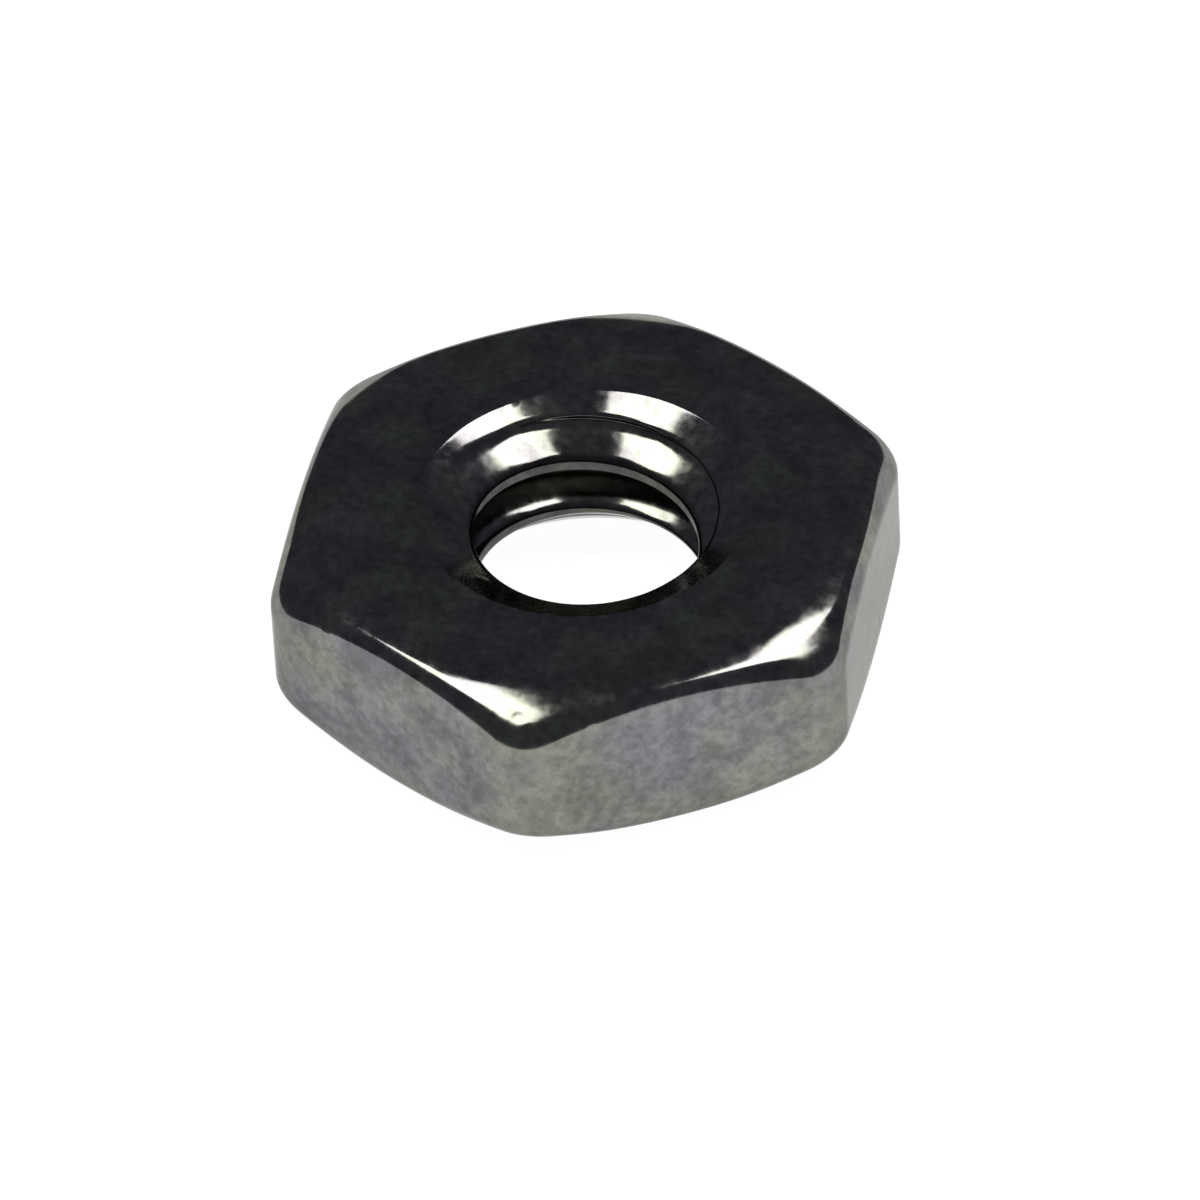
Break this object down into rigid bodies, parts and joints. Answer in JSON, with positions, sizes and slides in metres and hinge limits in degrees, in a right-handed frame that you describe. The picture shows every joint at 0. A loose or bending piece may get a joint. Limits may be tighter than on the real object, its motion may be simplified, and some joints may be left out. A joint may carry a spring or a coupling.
{
  "type": "hex nut",
  "caption": "Bright steel hexagon nut with chamfered faces, rounded corners and a countersunk, coarse threaded hole.",
  "frame": {"origin": "centre of the lower bearing face, on the thread's axis", "axes": "+Z along the thread's axis, from the lower face to the upper; two of the six flats face +X and -X; corners lie on +Y and -Y"},
  "size_m": [0.0096, 0.0108, 0.0031],
  "materials": {
    "bright_steel": "polished"
  },
  "bodies": {
    "root": {"hex_nut": "bright_steel"}
  },
  "joints": []
}
